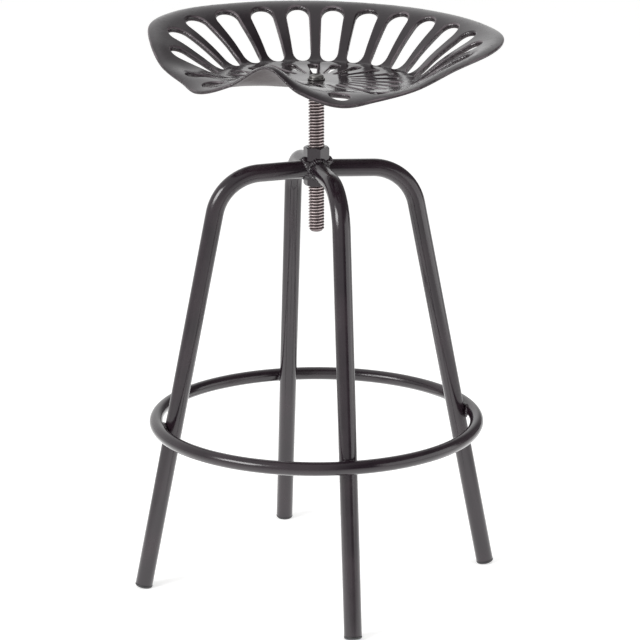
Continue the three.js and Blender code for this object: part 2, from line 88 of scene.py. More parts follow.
# noise seldom leaves the middle of its range, so a pattern is stretched from there
closeRange = {"From Min": 0.35, "From Max": 0.65}
wideRange = {"From Min": 0.3, "From Max": 0.7}


# Black stoving enamel, sprayed and baked: satin on the steel tubes, where fine orange peel breaks the
# highlight's edge, and wet-looking on the weld beads, where the film pooled
enamel = {
    "thick": "#190f17", "thin": "#251a21", "scuffed": "#4c4246",
    "mottle": 45, "scuff": 9, "scuffFrom": 0.68, "scuffFull": 0.76, "scuffShare": 0.5,
    "peel": 2.4, "peelHeight": 0.035, "grit": 0.9, "gritHeight": 0.006, "relief": 0.6,
    "tubeGloss": (0.13, 0.25), "beadGloss": (0.05, 0.11),
}


def blackStovingEnamel(name, gloss):
    material, tree, shader, place = startMaterial(name, {"Metallic": 0, "IOR": 1.5})
    mottle = addNode(tree, "ShaderNodeTexNoise", {"Scale": perMetre(enamel["mottle"]), "Detail": 3},
                     {"Vector": place})
    cloud = addNode(tree, "ShaderNodeMapRange", closeRange, {"Value": mottle.outputs[0]})
    body = addNode(tree, "ShaderNodeMix", {6: hexColour(enamel["thick"]), 7: hexColour(enamel["thin"])},
                   {0: cloud.outputs[0]}, data_type="RGBA")
    # light scuffs, a few millimetres long and rare
    scuff = addNode(tree, "ShaderNodeTexNoise",
                    {"Scale": perMetre(enamel["scuff"]), "Detail": 6, "Roughness": 0.7}, {"Vector": place})
    rare = addNode(tree, "ShaderNodeMapRange", {
        "From Min": enamel["scuffFrom"], "From Max": enamel["scuffFull"], "To Max": enamel["scuffShare"],
    }, {"Value": scuff.outputs[0]})
    worn = addNode(tree, "ShaderNodeMix", {7: hexColour(enamel["scuffed"])},
                   {0: rare.outputs[0], 6: body.outputs[2]}, data_type="RGBA")
    sheen = addNode(tree, "ShaderNodeMapRange", {**wideRange, "To Min": gloss[0], "To Max": gloss[1]},
                    {"Value": mottle.outputs[0]})
    peel = addNode(tree, "ShaderNodeTexNoise", {"Scale": perMetre(enamel["peel"]), "Detail": 2},
                   {"Vector": place})
    grit = addNode(tree, "ShaderNodeTexNoise", {"Scale": perMetre(enamel["grit"]), "Detail": 1},
                   {"Vector": place})
    soft = addNode(tree, "ShaderNodeBump",
                   {"Strength": enamel["relief"], "Distance": enamel["peelHeight"] * mm},
                   {"Height": peel.outputs[0]})
    fine = addNode(tree, "ShaderNodeBump",
                   {"Strength": enamel["relief"], "Distance": enamel["gritHeight"] * mm},
                   {"Height": grit.outputs[0], "Normal": soft.outputs[0]})
    linkSurface(tree, shader, worn.outputs[2], sheen.outputs[0], fine.outputs[0])
    return material


# Gloss black enamel on sand-cast iron: the casting's waves and sand grain show softly through the
# film, drawn coarser than the real grain so that they show. The film draws back from the edges of the
# slots, whose walls stay lumpy from the mould, and the underside is barely sprayed. The rounded rims
# are painted lighter in patches, part wear of the film and part painted highlight along the edges
seatGloss = {
    "thick": "#150c12", "thin": "#20151c", "edge": "#7b7075", "bare": "#4a4243",
    "wave": 16, "waveHeight": 0.28, "sand": 2.6, "sandHeight": 0.12, "relief": 0.5,
    "lump": 3.4, "lumpHeight": 1.3, "patch": 40, "edgeShare": 0.6, "bareShare": 0.55,
    "glossy": 0.06, "dull": 0.15, "rough": 0.5,
}


def glossCastEnamel():
    material, tree, shader, place = startMaterial("glossBlackEnamelOnCastIron",
                                                  {"Metallic": 0, "IOR": 1.52})
    wave = addNode(tree, "ShaderNodeTexNoise", {"Scale": perMetre(seatGloss["wave"]), "Detail": 2},
                   {"Vector": place})
    sand = addNode(tree, "ShaderNodeTexNoise",
                   {"Scale": perMetre(seatGloss["sand"]), "Detail": 3, "Roughness": 0.6}, {"Vector": place})
    rim = addNode(tree, "ShaderNodeAttribute", attribute_name="rimWearAndHighlight").outputs["Fac"]
    under = addNode(tree, "ShaderNodeAttribute", attribute_name="underside").outputs["Fac"]
    wall = addNode(tree, "ShaderNodeAttribute", attribute_name="slotWall").outputs["Fac"]
    film = addNode(tree, "ShaderNodeMix",
                   {6: hexColour(seatGloss["thick"]), 7: hexColour(seatGloss["thin"])},
                   {0: wave.outputs[0]}, data_type="RGBA")
    patch = addNode(tree, "ShaderNodeTexNoise", {"Scale": perMetre(seatGloss["patch"]), "Detail": 3},
                    {"Vector": place})
    # rounded rims lighter in patches: worn film, and a painted highlight along the edges
    wearAndHighlight = addNode(tree, "ShaderNodeMapRange", {**closeRange, "To Max": seatGloss["edgeShare"]},
                   {"Value": patch.outputs[0]})
    rimShare = addNode(tree, "ShaderNodeMath", links={0: rim, 1: wearAndHighlight.outputs[0]}, operation="MULTIPLY")
    edged = addNode(tree, "ShaderNodeMix", {7: hexColour(seatGloss["edge"])},
                    {0: rimShare.outputs[0], 6: film.outputs[2]}, data_type="RGBA")
    grain = addNode(tree, "ShaderNodeMapRange", {**wideRange, "To Min": seatGloss["bareShare"]},
                    {"Value": sand.outputs[0]})
    underShare = addNode(tree, "ShaderNodeMath", links={0: under, 1: grain.outputs[0]},
                         operation="MULTIPLY")
    colour = addNode(tree, "ShaderNodeMix", {7: hexColour(seatGloss["bare"])},
                     {0: underShare.outputs[0], 6: edged.outputs[2]}, data_type="RGBA")
    gloss = addNode(tree, "ShaderNodeMapRange",
                    {**wideRange, "To Min": seatGloss["glossy"], "To Max": seatGloss["dull"]},
                    {"Value": wave.outputs[0]})
    rough = addNode(tree, "ShaderNodeMix", {3: seatGloss["rough"]}, {0: under, 2: gloss.outputs[0]})
    waves = addNode(tree, "ShaderNodeBump",
                    {"Strength": seatGloss["relief"], "Distance": seatGloss["waveHeight"] * mm},
                    {"Height": wave.outputs[0]})
    grains = addNode(tree, "ShaderNodeBump",
                     {"Strength": seatGloss["relief"], "Distance": seatGloss["sandHeight"] * mm},
                     {"Height": sand.outputs[0], "Normal": waves.outputs[0]})
    lump = addNode(tree, "ShaderNodeTexNoise", {"Scale": perMetre(seatGloss["lump"]), "Detail": 2},
                   {"Vector": place})
    lumps = addNode(tree, "ShaderNodeBump", {"Distance": seatGloss["lumpHeight"] * mm},
                    {"Height": lump.outputs[0], "Strength": wall, "Normal": grains.outputs[0]})
    linkSurface(tree, shader, colour.outputs[2], rough.outputs[0], lumps.outputs[0])
    return material


# Bare mild steel, cut with a coarse thread and oiled: crests lighter, part worn clean steel and part
# painted highlight, and roots darker, part oil and part painted shade in the hollows
bareSteel = {
    "crest": "#c2b6b4", "side": "#918687", "root": "#514748",
    "rootRadius": 9.1, "crestRadius": 11.1, "crestFrom": 0.7, "stain": 7,
    "turning": 0.5, "turningHeight": 0.02, "relief": 0.3, "dull": 0.5, "bright": 0.26,
}


def oiledBareSteel():
    material, tree, shader, place = startMaterial("oiledBareSteel", {"Metallic": 1})
    flat = addNode(tree, "ShaderNodeVectorMath", {1: (1, 1, 0)}, {0: place}, operation="MULTIPLY")
    radius = addNode(tree, "ShaderNodeVectorMath", links={0: flat.outputs[0]}, operation="LENGTH")
    depth = addNode(tree, "ShaderNodeMapRange", {
        "From Min": bareSteel["rootRadius"] * mm, "From Max": bareSteel["crestRadius"] * mm,
    }, {"Value": radius.outputs["Value"]})
    stain = addNode(tree, "ShaderNodeTexNoise", {"Scale": perMetre(bareSteel["stain"]), "Detail": 5},
                    {"Vector": place})
    # darker towards the thread roots: oil, and painted shade in the hollows
    side = addNode(tree, "ShaderNodeMix",
                   {6: hexColour(bareSteel["root"]), 7: hexColour(bareSteel["side"])},
                   {0: depth.outputs[0]}, data_type="RGBA")
    # crests lighter: worn clean steel, and a painted highlight
    top = addNode(tree, "ShaderNodeMapRange", {"From Min": bareSteel["crestFrom"], "From Max": 1},
                  {"Value": depth.outputs[0]})
    cleanCrestAndHighlight = addNode(tree, "ShaderNodeMath", links={0: top.outputs[0], 1: stain.outputs[0]},
                    operation="MULTIPLY")
    colour = addNode(tree, "ShaderNodeMix", {7: hexColour(bareSteel["crest"])},
                     {0: cleanCrestAndHighlight.outputs[0], 6: side.outputs[2]}, data_type="RGBA")
    gloss = addNode(tree, "ShaderNodeMapRange",
                    {"To Min": bareSteel["dull"], "To Max": bareSteel["bright"]},
                    {"Value": cleanCrestAndHighlight.outputs[0]})
    # tool marks of the thread cutting, drawn at 0.5 mm although real ones are finer
    marks = addNode(tree, "ShaderNodeTexNoise", {"Scale": perMetre(bareSteel["turning"]), "Detail": 1},
                    {"Vector": place})
    bump = addNode(tree, "ShaderNodeBump",
                   {"Strength": bareSteel["relief"], "Distance": bareSteel["turningHeight"] * mm},
                   {"Height": marks.outputs[0]})
    linkSurface(tree, shader, colour.outputs[2], gloss.outputs[0], bump.outputs[0])
    return material


# Dull zinc-plated steel of the fixing bolt and washer: grey with a faint cloudy spangle
zinc = {
    "light": "#8b8987", "dark": "#565453", "cloud": 5, "grain": 0.6, "grainHeight": 0.015,
    "relief": 0.25, "glossy": 0.3, "dull": 0.48,
}


def dullZincPlate():
    material, tree, shader, place = startMaterial("dullZincPlatedSteel", {"Metallic": 1})
    cloud = addNode(tree, "ShaderNodeTexNoise", {"Scale": perMetre(zinc["cloud"]), "Detail": 4},
                    {"Vector": place})
    colour = addNode(tree, "ShaderNodeMix", {6: hexColour(zinc["dark"]), 7: hexColour(zinc["light"])},
                     {0: cloud.outputs[0]}, data_type="RGBA")
    gloss = addNode(tree, "ShaderNodeMapRange", {"To Min": zinc["glossy"], "To Max": zinc["dull"]},
                    {"Value": cloud.outputs[0]})
    grain = addNode(tree, "ShaderNodeTexNoise", {"Scale": perMetre(zinc["grain"])}, {"Vector": place})
    bump = addNode(tree, "ShaderNodeBump",
                   {"Strength": zinc["relief"], "Distance": zinc["grainHeight"] * mm},
                   {"Height": grain.outputs[0]})
    linkSurface(tree, shader, colour.outputs[2], gloss.outputs[0], bump.outputs[0])
    return material


# Moulded black polyethylene of the foot caps: soft sheen, a fine spark-eroded grain, scuffed below
capPlastic = {
    "body": "#1f1e20", "scuffed": "#3b393b", "scuff": 3, "scuffHeight": 3, "scuffLow": 0.8,
    "scuffHigh": 0.1, "grain": 0.8, "grainHeight": 0.02, "relief": 0.4, "glossy": 0.42, "dull": 0.62,
}


def mouldedPolyethylene():
    material, tree, shader, place = startMaterial("mouldedBlackPolyethylene", {"Metallic": 0, "IOR": 1.51})
    height = addNode(tree, "ShaderNodeSeparateXYZ", links={0: place})
    low = addNode(tree, "ShaderNodeMapRange", {
        "From Max": capPlastic["scuffHeight"] * mm,
        "To Min": capPlastic["scuffLow"], "To Max": capPlastic["scuffHigh"],
    }, {"Value": height.outputs["Z"]})
    scuff = addNode(tree, "ShaderNodeTexNoise", {"Scale": perMetre(capPlastic["scuff"]), "Detail": 5},
                    {"Vector": place})
    share = addNode(tree, "ShaderNodeMath", links={0: low.outputs[0], 1: scuff.outputs[0]},
                    operation="MULTIPLY")
    colour = addNode(tree, "ShaderNodeMix",
                     {6: hexColour(capPlastic["body"]), 7: hexColour(capPlastic["scuffed"])},
                     {0: share.outputs[0]}, data_type="RGBA")
    gloss = addNode(tree, "ShaderNodeMapRange",
                    {"To Min": capPlastic["glossy"], "To Max": capPlastic["dull"]},
                    {"Value": scuff.outputs[0]})
    grain = addNode(tree, "ShaderNodeTexNoise", {"Scale": perMetre(capPlastic["grain"]), "Detail": 2},
                    {"Vector": place})
    bump = addNode(tree, "ShaderNodeBump",
                   {"Strength": capPlastic["relief"], "Distance": capPlastic["grainHeight"] * mm},
                   {"Height": grain.outputs[0]})
    linkSurface(tree, shader, colour.outputs[2], gloss.outputs[0], bump.outputs[0])
    return material


frameFinish = blackStovingEnamel("satinBlackStovingEnamel", enamel["tubeGloss"])
beadFinish = blackStovingEnamel("pooledBlackStovingEnamel", enamel["beadGloss"])
seatFinish = glossCastEnamel()
screwFinish = oiledBareSteel()
boltFinish = dullZincPlate()
capFinish = mouldedPolyethylene()
print("finishes made")


# Shared ways of making a shape

def addToScene(name, data):
    holder = bpy.data.objects.new(name, data)
    bpy.context.scene.collection.objects.link(holder)
    return holder


def finishPiece(name, shape, material, body, node, sharpAngle=35, tidyNormals=True):
    if tidyNormals:
        bmesh.ops.remove_doubles(shape, verts=shape.verts, dist=mergeWithin)
        bmesh.ops.recalc_face_normals(shape, faces=shape.faces)
    bmesh.ops.scale(shape, vec=(mm, mm, mm), verts=shape.verts)
    mesh = bpy.data.meshes.new(name)
    shape.to_mesh(mesh)
    shape.free()
    mesh.shade_smooth()
    mesh.set_sharp_from_angle(angle=math.radians(sharpAngle))
    mesh.materials.append(material)
    piece = addToScene(name, mesh)
    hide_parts(node)
    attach(piece, body)
    return piece


def onlyEdges(parts):
    return [part for part in parts if isinstance(part, bmesh.types.BMEdge)]


def edgesOf(points):
    # the edges that meet some points, each once and always in the same order
    return list(dict.fromkeys(edge for point in points for edge in point.link_edges))


def drawProfile(profile):
    # a chain of edges through (radius, height) points, beside the Z axis
    shape = bmesh.new()
    points = [shape.verts.new((radius, 0, height)) for radius, height in profile]
    for before, after in zip(points, points[1:]):
        shape.edges.new((before, after))
    return shape


def spinOnce(shape, steps):
    bmesh.ops.spin(shape, geom=shape.verts[:] + shape.edges[:], cent=(0, 0, 0), axis=(0, 0, 1),
                   angle=2 * math.pi, steps=steps, use_merge=True)


def turnedShape(profile, steps):
    shape = drawProfile(profile)
    spinOnce(shape, steps)
    bmesh.ops.remove_doubles(shape, verts=shape.verts, dist=mergeWithin)
    return shape


def ringShape(radius, thickness, height, sides, steps):
    # a round bar bent to a full ring about the Z axis
    shape = bmesh.new()
    bmesh.ops.create_circle(shape, segments=sides, radius=thickness)
    bmesh.ops.rotate(shape, matrix=Matrix.Rotation(math.pi / 2, 3, "X"), verts=shape.verts)
    bmesh.ops.translate(shape, vec=(radius, 0, height), verts=shape.verts)
    spinOnce(shape, steps)
    return shape


def bridgeInTurn(shape, loops):
    for before, after in zip(loops, loops[1:]):
        bmesh.ops.bridge_loops(shape, edges=before + after)


def cutLevel(shape, height, facing):
    # takes off what lies beyond a level plane, upwards or downwards, and closes the cut
    cut = bmesh.ops.bisect_plane(shape, geom=shape.verts[:] + shape.edges[:] + shape.faces[:],
                                 plane_co=(0, 0, height), plane_no=(0, 0, facing), clear_outer=True)
    bmesh.ops.edgeloop_fill(shape, edges=onlyEdges(cut["geom_cut"]))


def placeShape(shape, matrix):
    bmesh.ops.transform(shape, matrix=matrix, verts=shape.verts)


def roundedCorner(radius, height, turnStart, size, steps=4):
    # points of a quarter round of the given size about (radius, height), from turnStart on
    return [(radius + size * math.cos(turnStart + math.pi / 2 * i / steps),
             height + size * math.sin(turnStart + math.pi / 2 * i / steps)) for i in range(steps + 1)]


# Legs: a straight run from the nut, one bend and a straight leg down to its cap

leg = {
    "tubeRadius": 12.5, "runHeight": 602.4, "runFall": 2.25, "lean": 11.2, "sideLean": 1.07,
    "turn": 35.86, "bendRadius": 67.8, "bendReach": 133.7, "startInNut": 12, "sides": 64, "bendSteps": 36,
}
cap = {
    "head": 4.5, "edge": 2.5, "edgeSteps": 6, "plug": 12, "plugRadii": (9.8, 9.2), "flatDepth": 0.8,
    "shoulder": [(0, 0.9), (0.25, 0.4), (0.9, 0.3)],   # inwards from the head's side, down from its top
}
fall, lean = math.radians(leg["runFall"]), math.radians(leg["lean"])
runDirection = Vector((math.cos(fall), 0, -math.sin(fall)))
footDirection = Vector((math.sin(lean), 0, -math.cos(lean)))
cornerDrop = leg["bendReach"] * math.tan(fall) / (1 - math.tan(lean) * math.tan(fall))
bendCorner = Vector((leg["bendReach"] + cornerDrop * math.tan(lean), 0, -cornerDrop))
bendTurn = runDirection.angle(footDirection)
bendStart = bendCorner - runDirection * leg["bendRadius"] * math.tan(bendTurn / 2)
bendEnd = bendCorner + footDirection * leg["bendRadius"] * math.tan(bendTurn / 2)
bendCentre = bendStart + Vector((-math.sin(fall), 0, -math.cos(fall))) * leg["bendRadius"]


def legTurn(index):
    return math.radians(leg["turn"] - 90 + 90 * index)


def legPlace(index):
    return (Matrix.Translation((0, 0, leg["runHeight"])) @ Matrix.Rotation(legTurn(index), 4, "Z")
            @ Matrix.Rotation(-math.radians(leg["sideLean"]), 4, "X"))


def footPoint():
    # the middle of a foot's end face, low enough that the floor cuts its lowest edge level
    start = legPlace(0) @ bendEnd
    direction = legPlace(0).to_3x3() @ footDirection
    tilt = math.acos(-direction.z)
    lowEdge = (leg["tubeRadius"] - cap["edge"]) * math.sin(tilt) + cap["edge"] * (1 - math.cos(tilt))
    return bendEnd + footDirection * (start.z - (lowEdge - cap["flatDepth"])) / math.cos(tilt)


footEnd = footPoint()


def extrudeTo(shape, loop, end):
    # carries an open end straight on, until its middle is at the given point
    made = bmesh.ops.extrude_edge_only(shape, edges=loop)["geom"]
    points = [part for part in made if isinstance(part, bmesh.types.BMVert)]
    centre = sum((point.co for point in points), Vector()) / len(points)
    bmesh.ops.translate(shape, vec=end - centre, verts=points)
    return [edge for edge in onlyEdges(made) if all(point in points for point in edge.verts)]


def bentTube(index):
    shape = bmesh.new()
    bmesh.ops.create_circle(shape, segments=leg["sides"], radius=leg["tubeRadius"])
    bmesh.ops.rotate(shape, matrix=Matrix.Rotation(math.pi / 2 + fall, 3, "Y"), verts=shape.verts)
    bmesh.ops.translate(shape, vec=runDirection * leg["startInNut"], verts=shape.verts)
    loop = extrudeTo(shape, shape.edges[:], bendStart)
    bend = bmesh.ops.spin(shape, geom=loop, cent=bendCentre, axis=(0, 1, 0), angle=bendTurn,
                          steps=leg["bendSteps"])
    extrudeTo(shape, onlyEdges(bend["geom_last"]), footEnd - footDirection * cap["head"])
    bmesh.ops.holes_fill(shape, edges=[edge for edge in shape.edges if edge.is_boundary])
    placeShape(shape, legPlace(index))
    return shape


def footCap(index):
    head, edge, radius = cap["head"], cap["edge"], leg["tubeRadius"]
    profile = [(0, 0)] + roundedCorner(radius - edge, edge, -math.pi / 2, edge, cap["edgeSteps"])
    profile += [(radius - inwards, head - down) for inwards, down in cap["shoulder"]]
    lowRadius, highRadius = cap["plugRadii"]
    profile += [(lowRadius, head - cap["shoulder"][-1][1]), (highRadius, head + cap["plug"])]
    shape = turnedShape(profile + [(0, head + cap["plug"])], leg["sides"])
    turn = upright.rotation_difference(-footDirection).to_matrix().to_4x4()
    placeShape(shape, legPlace(index) @ Matrix.Translation(footEnd) @ turn)
    cutLevel(shape, 0, -1)
    return shape


for i in range(4):
    finishPiece(f"bentLegTube{i + 1}", bentTube(i), frameFinish, "frame", f"leg_{i + 1}")
    finishPiece(f"footCapMoulding{i + 1}", footCap(i), capFinish, "frame",
                f"foot_cap_{i + 1}")
print("legs and caps made")


# Foot ring: one tube rolled to a circle, lying against the legs' outer sides

footRing = {"tubeRadius": 9.5, "height": 237.5, "gap": 0.3, "sides": 40, "steps": 240}


def legAtRing(index):
    top, foot = legPlace(index) @ bendEnd, legPlace(index) @ footEnd
    return top.lerp(foot, (top.z - footRing["height"]) / (top.z - foot.z))


ringPass = legAtRing(0)
ringTurn = math.atan2(ringPass.y, ringPass.x)
tubesApart = leg["tubeRadius"] + footRing["gap"] + footRing["tubeRadius"]
ringCentreRadius = ringPass.xy.length + tubesApart / math.cos(lean)
rolledRing = ringShape(ringCentreRadius, footRing["tubeRadius"], footRing["height"], footRing["sides"],
                       footRing["steps"])
finishPiece("rolledFootRing", rolledRing, frameFinish, "frame", "foot_ring")
print("foot ring made")


# Tall hexagonal nut with its corners turned off, and a plain bore with a small lead-in

nut = {
    "acrossFlats": 32, "bottom": 579, "top": 633, "turn": 39.5, "chamfer": 1.6, "columns": 12,
    "bore": 11.4, "leadIn": 1, "faceInset": 0.1, "faceDrop": 0.05, "softEdge": 0.5, "softAngle": 38,
}


def hexDistance(angle, acrossFlats):
    # how far a hexagon's side is from its middle; a corner lies on +Y
    offset = (angle - math.pi / 2) % (math.pi / 3) - math.pi / 6
    return acrossFlats / 2 / math.cos(offset)


def addLoop(shape, segments, radius, height):
    # a level loop; radius and height may follow the angle
    loop = bmesh.ops.create_circle(shape, segments=segments, radius=1)["verts"]
    for point in loop:
        angle = math.atan2(point.co.y, point.co.x)
        reach = radius(angle) if callable(radius) else radius
        point.co = Vector((reach * math.cos(angle), reach * math.sin(angle),
                           height(angle) if callable(height) else height))
    return edgesOf(loop)


def tallNut():
    bottom, top, bore, lead = nut["bottom"], nut["top"], nut["bore"], nut["leadIn"]
    flat = nut["acrossFlats"] / 2
    corner = flat / math.cos(math.pi / 6)
    face = flat - nut["faceInset"]

    def side(angle):
        return hexDistance(angle, nut["acrossFlats"])

    def chamfer(angle):
        return nut["faceDrop"] + nut["chamfer"] * (side(angle) - flat) / (corner - flat)

    outline = [
        (face, bottom), (side, lambda angle: bottom + chamfer(angle)),
        (side, lambda angle: top - chamfer(angle)), (face, top),
        (bore + lead, top), (bore, top - lead), (bore, bottom + lead), (bore + lead, bottom),
    ]
    shape = bmesh.new()
    loops = [addLoop(shape, 6 * nut["columns"], radius, height) for radius, height in outline]
    bridgeInTurn(shape, loops + loops[:1])
    placeShape(shape, Matrix.Rotation(math.radians(nut["turn"]), 4, "Z"))
    return shape


nutPiece = finishPiece("tallHexNut", tallNut(), frameFinish, "frame", "hub_nut")
softEdges = nutPiece.modifiers.new("softenedEdges", "BEVEL")
softEdges.width = nut["softEdge"] * mm
softEdges.segments = 2
softEdges.limit_method = "ANGLE"
softEdges.angle_limit = math.radians(nut["softAngle"])
softEdges.harden_normals = True
print("nut made")


# Weld beads, laid by hand: lumpy, with the ripple of the puddle along them

weld = {
    "hubWidth": 3.4, "hubReach": 4.8, "ringRadius": 7.6, "ringThickness": 2.9, "ringStretch": 1.25,
    "ripple": 3.1, "rippleHeight": 0.34, "lump": 4.2, "lumpHeight": 1.1, "steps": 240, "sides": 16,
    "hubRoom": 0.6, "hubGap": 0.4, "wander": (0.8, 0.5, 0), "wanderSize": 11, "swell": 0.09, "swellSize": 6,
    "leastFacing": 0.2,
}


def faceDistance(index, sideways):
    # from the screw's axis to the nut's side, along a leg's run and a little to one side of it; of the
    # nut's six sides only those that look towards the leg count
    reaches = []
    for k in range(6):
        facing = math.radians(nut["turn"] + 60 * k) - legTurn(index)
        if math.cos(facing) > weld["leastFacing"]:
            reaches.append((nut["acrossFlats"] / 2 - sideways * math.sin(facing)) / math.cos(facing))
    return min(reaches)


def beadShape(radius, thickness, steps):
    # a ring of weld metal whose points stand off its middle line by lumps and by the puddle's ripples
    shape = ringShape(radius, thickness, 0, weld["sides"], steps)
    for point in shape.verts:
        middle = Vector((point.co.x, point.co.y, 0)).normalized() * radius
        along = math.atan2(point.co.y, point.co.x) * radius
        lump = noise.noise(point.co / weld["lump"] + Vector((thickness, 0, 0))) * weld["lumpHeight"]
        ripple = math.cos(2 * math.pi * along / weld["ripple"]) * weld["rippleHeight"]
        point.co += (point.co - middle).normalized() * (lump + ripple)
    return shape


def hubWeld(index):
    # round a leg's tube and pressed to the nut's sides; each bead reads its own part of the noise
    shape = beadShape(leg["tubeRadius"] + weld["hubRoom"], weld["hubWidth"], weld["steps"])
    wander = Vector(weld["wander"])
    for point in shape.verts:
        point.co += wander * noise.noise(point.co / weld["wanderSize"] + Vector((0, 0, 9 + index)))
    placeShape(shape, Matrix.Rotation(math.pi / 2 + fall, 4, "Y"))
    for point in shape.verts:
        nutSide = faceDistance(index, point.co.y)
        point.co.x = point.co.x * weld["hubReach"] / weld["hubWidth"] + nutSide + weld["hubGap"]
    placeShape(shape, legPlace(index))
    return shape


def ringWeld(index):
    # an oval bead between a leg and the foot ring, lying across the line in which they touch
    shape = beadShape(weld["ringRadius"], weld["ringThickness"], weld["steps"] // 2)
    for point in shape.verts:
        swell = noise.noise(point.co / weld["swellSize"] + Vector((0, 0, 3 * index)))
        point.co *= 1 + weld["swell"] * swell
    bmesh.ops.scale(shape, vec=(weld["ringStretch"], 1, 1), verts=shape.verts)
    turn = ringTurn + index * math.pi / 2
    touch = footRing["tubeRadius"] + footRing["gap"] / 2
    outwards = ringCentreRadius - touch * math.cos(lean)
    place = Matrix.Translation((outwards * math.cos(turn), outwards * math.sin(turn),
                                footRing["height"] - touch * math.sin(lean)))
    placeShape(shape, place @ Matrix.Rotation(turn - math.pi / 2, 4, "Z")
               @ Matrix.Rotation(-math.pi / 2 - lean, 4, "X"))
    return shape


for i in range(4):
    finishPiece(f"hubWeldBead{i + 1}", hubWeld(i), beadFinish, "frame", f"hub_weld_{i + 1}")
    finishPiece(f"ringWeldBead{i + 1}", ringWeld(i), beadFinish, "frame",
                f"ring_weld_{i + 1}")
print("weld beads made")


# Adjusting screw: a trapezoidal thread wound as a helix, its lower end pointed

thread = {
    "radius": 11.1, "depth": 2, "pitch": 4.2333, "bottom": 513, "top": 713.2, "tipLength": 5, "tipInset": 4,
    "sides": 48, "crest": (0.24, 0.54), "rounding": 0.04, "cornerDrops": (0.35, 0.05), "rootStart": 0.78,
    "spareTurns": 3, "mergeWithin": 0.005,
}


def threadProfile():
    # one turn's section, from root to root, with places along the screw as shares of the pitch
    crest, root, soft = thread["radius"], thread["radius"] - thread["depth"], thread["rounding"]
    first, last = thread["crest"]
    low, high = (crest - drop for drop in thread["cornerDrops"])
    shares = [(0, root), (first - soft, low), (first, high), (first + soft, crest), (last - soft, crest),
              (last, high), (last + soft, low), (thread["rootStart"], root), (1, root)]
    return [(radius, share * thread["pitch"]) for share, radius in shares]


def woundScrew():
    spare = thread["spareTurns"]
    turns = math.ceil((thread["top"] - thread["bottom"]) / thread["pitch"]) + spare
    start = thread["bottom"] - spare / 2 * thread["pitch"]
    shape = drawProfile([(radius, start + height) for radius, height in threadProfile()])
    bmesh.ops.spin(shape, geom=shape.verts[:] + shape.edges[:], cent=(0, 0, 0), axis=(0, 0, 1),
                   dvec=(0, 0, thread["pitch"] / thread["sides"]), angle=2 * math.pi * turns,
                   steps=thread["sides"] * turns)
    bmesh.ops.remove_doubles(shape, verts=shape.verts, dist=thread["mergeWithin"])
    # the point: crests above a round that narrows to the lower end are pushed in to it
    for point in shape.verts:
        share = min(max((point.co.z - thread["bottom"]) / thread["tipLength"], 0), 1)
        limit = thread["radius"] - thread["tipInset"] * (1 - math.sin(share * math.pi / 2))
        reach = point.co.xy.length
        if reach > limit:
            point.co.x, point.co.y = point.co.x * limit / reach, point.co.y * limit / reach
    cutLevel(shape, thread["bottom"], -1)
    cutLevel(shape, thread["top"], 1)
    return shape


finishPiece("woundAdjustingScrew", woundScrew(), screwFinish, "seat", "adjusting_screw",
            sharpAngle=50)
print("adjusting screw made")


# Fixing stack: flange under the pan, washer and low domed bolt with a hexagon socket on it

fixing = {
    "flangeRadius": 24.5, "flangeBottom": 713.5, "flangeTop": 719.5, "flangeEdge": 0.8, "holeRadius": 6.35,
    "washerRadius": 12, "washerBottom": 727.3, "washerTop": 728.9, "washerEdge": 0.3, "sides": 72,
    "headRadius": 10, "headBottom": 729.2, "headEdge": 0.3, "headRim": 731.54, "headTop": 734.4,
    "domeSteps": 10, "domeTurn": 66, "socket": 7, "socketDepth": 3, "socketMouth": (0.25, 0.05),
    "socketChamfer": 0.3, "shankRadius": 6, "shankTip": 688.2, "shankPoint": 1.2,
}


def turnedDisc(outer, inner, bottom, top, edge):
    profile = [(inner, bottom)] + roundedCorner(outer - edge, bottom + edge, -math.pi / 2, edge)
    profile += roundedCorner(outer - edge, top - edge, 0, edge) + [(inner + edge, top), (inner, top - edge)]
    return turnedShape(profile + [(inner, bottom)], fixing["sides"])


def domedBolt():
    head, bottom, edge = fixing["headRadius"], fixing["headBottom"], fixing["headEdge"]
    rim, top = fixing["headRim"], fixing["headTop"]
    shank, tip, point = fixing["shankRadius"], fixing["shankTip"], fixing["shankPoint"]
    mouthWidth, mouthDrop = fixing["socketMouth"]
    outline = [(shank - point, tip), (shank, tip + point), (shank, bottom), (head - edge, bottom),
               (head, bottom + edge)]
    for i in range(fixing["domeSteps"]):
        turn = math.radians(fixing["domeTurn"]) * i / (fixing["domeSteps"] - 1)
        outline.append((head * math.cos(turn), rim + (top - rim) * math.sin(turn)))

    def socket(angle):
        return hexDistance(angle, fixing["socket"])

    outline += [(lambda angle: socket(angle) + mouthWidth, top - mouthDrop),
                (socket, top - fixing["socketChamfer"]), (socket, top - fixing["socketDepth"])]
    shape = bmesh.new()
    loops = [addLoop(shape, fixing["sides"], radius, height) for radius, height in outline]
    bridgeInTurn(shape, loops)
    for end in (loops[0], loops[-1]):
        bmesh.ops.edgeloop_fill(shape, edges=end)
    return shape


flangeShape = turnedDisc(fixing["flangeRadius"], fixing["holeRadius"], fixing["flangeBottom"],
                         fixing["flangeTop"], fixing["flangeEdge"])
finishPiece("mountingFlange", flangeShape, frameFinish, "seat_carrier", "screw_flange")
washerShape = turnedDisc(fixing["washerRadius"], fixing["holeRadius"], fixing["washerBottom"],
                         fixing["washerTop"], fixing["washerEdge"])
finishPiece("fixingWasher", washerShape, boltFinish, "seat", "seat_washer")
finishPiece("fixingBolt", domedBolt(), boltFinish, "seat", "seat_bolt")
print("fixing stack made")


# Cast seat: a flat plate with all its slots, every rim rounded, cut into small cells and then
# raised to the dish. Angles are in degrees from the rear. Each row of shares holds the edge's distance
# as a share of the half width, then heights from the middle out as shares of the rise

